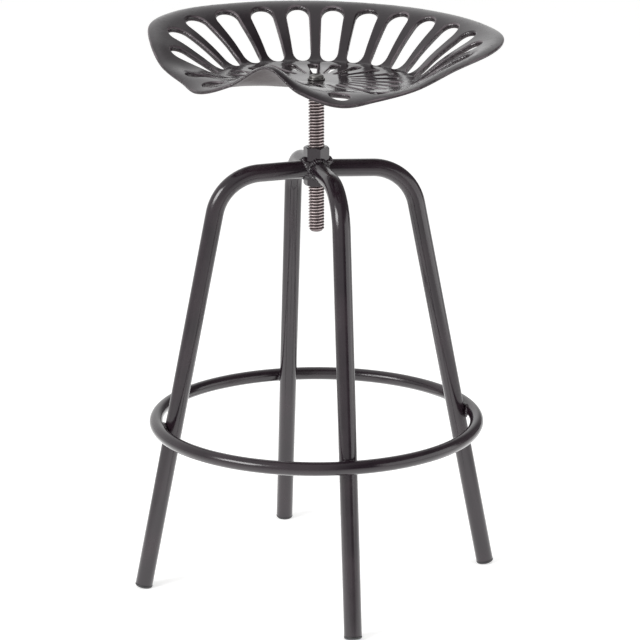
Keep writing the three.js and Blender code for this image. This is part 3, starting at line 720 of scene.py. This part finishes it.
seat = {
    "panHeight": 727, "thickness": 7.2, "edgeThickness": 3.8, "thinBand": 25, "halfWidth": 256.5,
    "rise": 75, "panRadius": 138, "rimRound": 2.2, "rimSteps": 4, "cell": 5, "cellOffset": 0.37,
    "rimSegments": 360, "slotSegments": 34, "boltHoleSegments": 24, "undersideLump": 0.3,
    "flatness": 0.9999, "offLine": 0.001,   # how level a flat side is, how near to its line a cut is
    "topSkin": 0.001, "undersideSkin": 0.01,   # depths within which a point is still on a flat side
    "panShares": [0.18, 0.45, 0.92, 1],
    "wallShares": [0.06, 0.27, 0.5, 0.7, 0.83, 0.92, 1],
    "angles": [0, 25, 50, 75, 90, 105, 120, 135, 148, 165, 180],
    "shares": [
        [0.926, 0, 0, 0.02, 0.04, 0.112, 0.429, 0.743, 0.924, 0.989, 0.999, 0.96],
        [0.926, 0, 0, 0.02, 0.04, 0.111, 0.425, 0.732, 0.939, 0.991, 0.996, 0.961],
        [0.962, 0, 0, 0.021, 0.039, 0.103, 0.388, 0.659, 0.873, 0.947, 0.963, 0.935],
        [1.004, 0, 0, 0.023, 0.039, 0.103, 0.368, 0.607, 0.781, 0.868, 0.895, 0.873],
        [0.984, 0, 0.003, 0.027, 0.041, 0.093, 0.313, 0.53, 0.675, 0.764, 0.797, 0.779],
        [0.908, 0, 0.007, 0.034, 0.045, 0.076, 0.204, 0.357, 0.485, 0.564, 0.592, 0.587],
        [0.836, 0, 0.014, 0.047, 0.055, 0.068, 0.122, 0.175, 0.237, 0.272, 0.288, 0.281],
        [0.770, 0, 0.028, 0.103, 0.116, 0.125, 0.14, 0.149, 0.143, 0.132, 0.118, 0.093],
        [0.776, 0, 0.05, 0.125, 0.134, 0.134, 0.132, 0.118, 0.098, 0.073, 0.048, 0.018],
        [0.749, 0, 0.064, 0.22, 0.245, 0.252, 0.279, 0.3, 0.304, 0.29, 0.266, 0.235],
        [0.692, 0, 0.072, 0.359, 0.433, 0.449, 0.504, 0.56, 0.597, 0.608, 0.601, 0.593],
    ],
    "lean": 1.4, "flatEnd": 24.84, "leanStart": 62.1,
    # a band is the iron between a slot and the edge, and an outer slot's width grows with its distance
    "outerBand": 29.5, "outerWidthShare": 0.085, "outerSide": 7, "outerPitch": 15,
    "frontAngle": 129, "frontBand": 17.5, "innerPlaces": 22, "innerSide": 10,
    "innerStart": (50, 2), "innerEnd": (119, 6.5),
    "thighAngle": 147.7, "thighDistance": 169.8, "thighSize": (28, 31),
}


def smoothThrough(knots, values, at):
    # a smooth curve through each row of knots, read at one place in each row
    steps = np.diff(knots, axis=1)
    slopes = np.diff(values, axis=1) / steps
    inner = (slopes[:, :-1] * steps[:, 1:] + slopes[:, 1:] * steps[:, :-1]) / (steps[:, :-1] + steps[:, 1:])
    tangents = np.hstack([slopes[:, :1], inner, slopes[:, -1:]])
    place = (knots[:, 1:-1] <= at[:, None]).sum(axis=1)[:, None]

    def pick(table, offset=0):
        return np.take_along_axis(table, place + offset, axis=1)[:, 0]

    step = pick(steps)
    t = (at - pick(knots)) / step
    return ((2 * t ** 3 - 3 * t ** 2 + 1) * pick(values) + (t ** 3 - 2 * t ** 2 + t) * step * pick(tangents)
            + (3 * t ** 2 - 2 * t ** 3) * pick(values, 1) + (t ** 3 - t ** 2) * step * pick(tangents, 1))


def seatRows(angles):
    # the table is mirrored past both ends, so that the seat is smooth across its middle line
    knots = np.array([-seat["angles"][1]] + seat["angles"] + [360 - seat["angles"][-2]], float)
    table = np.array([seat["shares"][1]] + seat["shares"] + [seat["shares"][-2]], float)
    folded = np.minimum(angles % 360, 360 - angles % 360)
    wide = np.tile(knots, (len(angles), 1))
    columns = [smoothThrough(wide, np.tile(column, (len(angles), 1)), folded) for column in table.T]
    return np.array(columns).T


def seatHeights(x, y):
    # the upper surface's height, and how much lower the underside is, straight down
    rows = seatRows(np.degrees(np.arctan2(x, y)))
    edge = rows[:, 0] * seat["halfWidth"]
    pan = np.array([0.0] + seat["panShares"]) * seat["panRadius"]
    wall = seat["panRadius"] + np.outer(edge - seat["panRadius"], seat["wallShares"])
    knots = np.hstack([np.tile(pan, (len(x), 1)), wall])
    heights = np.hstack([np.zeros((len(x), 1)), rows[:, 1:]]) * seat["rise"]
    distance = np.hypot(x, y)
    top = smoothThrough(knots, heights, distance)
    slope = top - smoothThrough(knots, heights, distance - 1)
    nearEdge = np.clip((distance - edge + seat["thinBand"]) / seat["thinBand"], 0, 1)
    across = seat["thickness"] + (seat["edgeThickness"] - seat["thickness"]) * nearEdge
    # bolted on a little off level, lower towards +X, but flat where the flange bears
    share = np.clip((distance - seat["flatEnd"]) / (seat["leanStart"] - seat["flatEnd"]), 0, 1)
    drop = share ** 2 * (3 - 2 * share) * x * math.tan(math.radians(seat["lean"]))
    return seat["panHeight"] + top - drop, across * np.sqrt(1 + slope ** 2)


def rimLevels():
    # (how far a rim draws back, depth) from the plate's top down to its underside
    turns = [math.pi / 2 * i / seat["rimSteps"] for i in range(seat["rimSteps"] + 1)]
    upper = [(seat["rimRound"] * (1 - math.sin(turn)), seat["rimRound"] * (1 - math.cos(turn)))
             for turn in turns]
    return upper + [(back, seat["thickness"] - depth) for back, depth in reversed(upper)]


def addRim(shape, makeLoop):
    # one hole's or the edge's wall: loops down through the plate, bridged
    loops = [makeLoop(back, -depth) for back, depth in rimLevels()]
    bridgeInTurn(shape, loops)
    return loops[0], loops[-1]


def slotLoop(shape, angle, start, end, back, height):
    # a loop round two circles, given as (distance, radius), on a line at one angle from the rear
    points = bmesh.ops.create_circle(shape, segments=seat["slotSegments"], radius=1)["verts"]
    for point in points:
        distance, radius = end if point.co.y > 0 else start
        point.co = Vector((point.co.x * (radius + back), distance + point.co.y * (radius + back), height))
    bmesh.ops.rotate(shape, matrix=Matrix.Rotation(-math.radians(angle), 3, "Z"), verts=points)
    return edgesOf(points)


def slotPlaces():
    # each slot's angle, then the distance and radius of the circles at its inner and outer ends
    places = []
    widthShare = seat["outerWidthShare"]
    bothSides = range(-seat["outerSide"], seat["outerSide"] + 1)
    outer = [(k * seat["outerPitch"], seat["outerBand"]) for k in bothSides]
    outer += [(side * seat["frontAngle"], seat["frontBand"]) for side in (-1, 1)]
    for angle, band in outer:
        edge = seatRows(np.array([float(angle)]))[0, 0] * seat["halfWidth"]
        start, end = seat["panRadius"] / (1 - widthShare), (edge - band) / (1 + widthShare)
        places.append((angle, (start, start * widthShare), (end, end * widthShare)))
    (innerStart, startRadius), (innerEnd, endRadius) = seat["innerStart"], seat["innerEnd"]
    width, length = seat["thighSize"]
    stretch = (length - width) / 2
    for side in (-1, 1):
        for k in range(seat["innerSide"]):
            places.append((side * (k + 0.5) * 360 / seat["innerPlaces"],
                           (innerStart + startRadius, startRadius), (innerEnd - endRadius, endRadius)))
        places.append((side * seat["thighAngle"], (seat["thighDistance"] - stretch, width / 2),
                       (seat["thighDistance"] + stretch, width / 2)))
    return places


def slottedPlate():
    shape = bmesh.new()

    def edgeLoop(back, height):
        points = bmesh.ops.create_circle(shape, segments=seat["rimSegments"], radius=1)["verts"]
        angles = np.array([math.degrees(math.atan2(p.co.x, p.co.y)) for p in points])
        for point, share in zip(points, seatRows(angles)[:, 0]):
            point.co = point.co * (share * seat["halfWidth"] - back) + upright * height
        return edgesOf(points)

    def boltHoleLoop(back, height):
        return addLoop(shape, seat["boltHoleSegments"], fixing["holeRadius"] + back, height)

    rims = [addRim(shape, edgeLoop), addRim(shape, boltHoleLoop)]
    for angle, start, end in slotPlaces():
        rims.append(addRim(shape, lambda back, height: slotLoop(shape, angle, start, end, back, height)))
    for level in (0, 1):   # the top and the underside
        bmesh.ops.triangle_fill(shape, edges=[edge for rim in rims for edge in rim[level]], use_beauty=True)
    bmesh.ops.recalc_face_normals(shape, faces=shape.faces)
    return shape


def cutAcross(shape, faces, axis, lines):
    # cuts at the middle line first and then each half by itself, so that a cut meets few faces
    if not lines or not faces:
        return
    middle = lines[len(lines) // 2]
    facing = Vector((1 - axis, axis, 0))
    crossing, low, high = [], [], []
    for face in faces:
        reach = [point.co[axis] for point in face.verts]
        (low if max(reach) <= middle else high if min(reach) >= middle else crossing).append(face)
    if crossing:
        parts = dict.fromkeys(crossing)
        parts.update(dict.fromkeys(edge for face in crossing for edge in face.edges))
        parts.update(dict.fromkeys(point for face in crossing for point in face.verts))
        made = bmesh.ops.bisect_plane(shape, geom=list(parts), dist=mergeWithin / 4,
                                      plane_co=facing * middle, plane_no=facing)
        for part in made["geom"]:
            if isinstance(part, bmesh.types.BMFace):
                (low if part.calc_center_median()[axis] < middle else high).append(part)
    cutAcross(shape, low, axis, lines[:len(lines) // 2])
    cutAcross(shape, high, axis, lines[len(lines) // 2 + 1:])


def insideCell(edge):
    # whether an edge lies on a flat side of the plate and along none of the cells' lines
    levels = [abs(face.normal.z) for face in edge.link_faces]
    if len(levels) != 2 or min(levels) <= seat["flatness"]:
        return False
    first, last = (point.co for point in edge.verts)
    for axis in (0, 1):
        offLine = (first[axis] / seat["cell"] - seat["cellOffset"] + 0.5) % 1 - 0.5
        if abs(first[axis] - last[axis]) < mergeWithin and abs(offLine) < seat["offLine"]:
            return False
    return True


def cutIntoCells(shape):
    # a square net of cuts, set a little aside so that no cut follows the middle line
    reach = int(seat["halfWidth"] / seat["cell"]) + 1
    lines = [(k + seat["cellOffset"]) * seat["cell"] for k in range(-reach, reach + 1)]
    for axis in (0, 1):
        cutAcross(shape, shape.faces[:], axis, lines)
    # the edges that the filling left inside the cells go
    shape.normal_update()
    extra = [edge for edge in shape.edges if insideCell(edge)]
    bmesh.ops.dissolve_edges(shape, edges=extra, use_verts=False)


def raiseToDish(shape):
    points = np.array([point.co for point in shape.verts])
    top, through = seatHeights(points[:, 0], points[:, 1])
    heights = top + points[:, 2] / seat["thickness"] * through
    for point, height in zip(shape.verts, heights):
        point.co.z = height


def castSeat():
    shape = slottedPlate()
    cutIntoCells(shape)
    rimLayer = shape.verts.layers.float.new("rimWearAndHighlight")
    underLayer = shape.verts.layers.float.new("underside")
    wallLayer = shape.verts.layers.float.new("slotWall")
    for point in shape.verts:
        depth = -point.co.z
        onUnderside = depth >= seat["thickness"] - seat["undersideSkin"]
        # the rims' rounded points take the lighter rim colour: edge wear and a painted highlight line
        point[rimLayer] = 1 if seat["topSkin"] < depth < seat["rimRound"] else 0
        point[wallLayer] = seat["undersideLump"] if onUnderside else min(depth / seat["rimRound"], 1)
        point[underLayer] = min(max((depth / seat["thickness"] - 0.5) * 2, 0), 1)
    raiseToDish(shape)
    return shape


seatPiece = finishPiece("slottedCastSeat", castSeat(), seatFinish, "seat", "seat_pan",
                        sharpAngle=60, tidyNormals=False)
evenNormals = seatPiece.modifiers.new("evenNormals", "WEIGHTED_NORMAL")
evenNormals.keep_sharp = True
print("cast seat made:", len(seatPiece.data.polygons), "faces")


# Stage: a plain pale floor that stays white round the stool and still takes its shadow. Sizes are in
# metres here and for the lamps

stage = {"size": 60, "colour": "#f4f4f3", "seen": 0.42, "pool": 0.9, "poolStart": 0.5, "poolEnd": 1.25}


def raySources(tree):
    # whether a ray comes from the camera, and whether it is a glossy or transmitted one
    path = addNode(tree, "ShaderNodeLightPath")
    mirror = addNode(tree, "ShaderNodeMath",
                     links={0: path.outputs["Is Glossy Ray"], 1: path.outputs["Is Transmission Ray"]},
                     operation="MAXIMUM")
    return path.outputs["Is Camera Ray"], mirror.outputs[0]


def paleFloor():
    material, tree, shader, place = startMaterial("palePaintedFloor", {
        "Base Color": hexColour(stage["colour"]), "Roughness": 0.9, "Specular IOR Level": 0.1,
        "Emission Color": (1, 1, 1, 1),
    })
    seen, mirror = raySources(tree)
    lookedAt = addNode(tree, "ShaderNodeMath", links={0: seen, 1: mirror}, operation="MAXIMUM")
    # a painted pool of light round the stool: the floor glows brighter there for glossy rays only, so it
    # shows in the enamel
    reach = addNode(tree, "ShaderNodeVectorMath", links={0: place}, operation="LENGTH")
    pool = addNode(tree, "ShaderNodeMapRange", {
        "From Min": stage["poolStart"], "From Max": stage["poolEnd"], "To Min": stage["pool"], "To Max": 0,
    }, {"Value": reach.outputs["Value"]}, interpolation_type="SMOOTHSTEP")
    mirrored = addNode(tree, "ShaderNodeMath", links={0: pool.outputs[0], 1: mirror}, operation="MULTIPLY")
    level = addNode(tree, "ShaderNodeMath", {1: stage["seen"]},
                    {0: lookedAt.outputs[0], 2: mirrored.outputs[0]}, operation="MULTIPLY_ADD")
    tree.links.new(level.outputs[0], shader.inputs["Emission Strength"])
    shape = bmesh.new()
    bmesh.ops.create_grid(shape, x_segments=1, y_segments=1, size=stage["size"] / 2)
    mesh = bpy.data.meshes.new("paleFloor")
    shape.to_mesh(mesh)
    shape.free()
    mesh.materials.append(material)
    floor = addToScene("paleFloor", mesh)


paleFloor()


# Light: an even pale room, and soft boxes that draw the streaks on the enamel

room = {
    "fill": 0.62, "seen": 1.0, "dim": 0.2, "dimFrom": 0.0, "dimTo": 0.45, "dimSide": (0.927, 0.375, 0),
    "aim": (0, 0, 0.45),
}
softBoxes = {   # place, width, height and power in watts; each one faces the middle of the stool
    "keyBox": ((-1.75, -2.7, 2.05), 1.7, 1.2, 78),
    "sideBox": ((2.1, 0.2, 0.75), 2.6, 1.3, 20),
}


def lightRoom():
    world = bpy.data.worlds.new("paleRoom")
    bpy.context.scene.world = world
    world.use_nodes = True
    tree = world.node_tree
    tree.nodes.clear()
    seen, mirror = raySources(tree)
    # the far right side of the room is dimmer than the rest
    side = addNode(tree, "ShaderNodeVectorMath", {1: room["dimSide"]},
                   {0: addNode(tree, "ShaderNodeTexCoord").outputs["Generated"]}, operation="DOT_PRODUCT")
    walls = addNode(tree, "ShaderNodeMapRange", {
        "From Min": room["dimFrom"], "From Max": room["dimTo"],
        "To Min": room["seen"], "To Max": room["dim"],
    }, {"Value": side.outputs["Value"]}, interpolation_type="SMOOTHSTEP")
    mirrored = addNode(tree, "ShaderNodeMix", {2: room["fill"]}, {0: mirror, 3: walls.outputs[0]})
    level = addNode(tree, "ShaderNodeMix", {3: room["seen"]}, {0: seen, 2: mirrored.outputs[0]})
    back = addNode(tree, "ShaderNodeBackground", {"Color": (1, 1, 1, 1)}, {"Strength": level.outputs[0]})
    addNode(tree, "ShaderNodeOutputWorld", links={"Surface": back.outputs[0]})
    for name, (place, width, height, power) in softBoxes.items():
        lamp = bpy.data.lights.new(name, "AREA")
        lamp.shape = "RECTANGLE"
        lamp.size, lamp.size_y = width, height
        lamp.energy = power
        holder = addToScene(name, lamp)
        holder.location = place
        holder.rotation_euler = (Vector(room["aim"]) - Vector(place)).to_track_quat("-Z", "Y").to_euler()


lightRoom()
print("floor and lights set")


# Camera: found from the photograph's legs, feet, ring and screw. Turns are in degrees

viewFrom = {
    "distance": 3469.8, "height": 1322.3, "turn": 22, "down": 15.147, "aside": 0.083,
    "focal": 142.89, "sensor": 36, "farthest": 200000,
}
camera = addToScene("photoCamera", bpy.data.cameras.new("photoCamera"))
camera.data.sensor_fit = "HORIZONTAL"
camera.data.sensor_width = viewFrom["sensor"]
camera.data.lens = viewFrom["focal"]
camera.data.clip_end = viewFrom["farthest"] * mm
viewTurn = math.radians(viewFrom["turn"])
camera.location = mm * Vector((math.sin(viewTurn) * viewFrom["distance"],
                               -math.cos(viewTurn) * viewFrom["distance"], viewFrom["height"]))
camera.rotation_euler = (math.radians(90 - viewFrom["down"]), 0, viewTurn - math.radians(viewFrom["aside"]))
bpy.context.scene.camera = camera
bpy.context.scene.view_settings.view_transform = "Standard"
print("camera set")
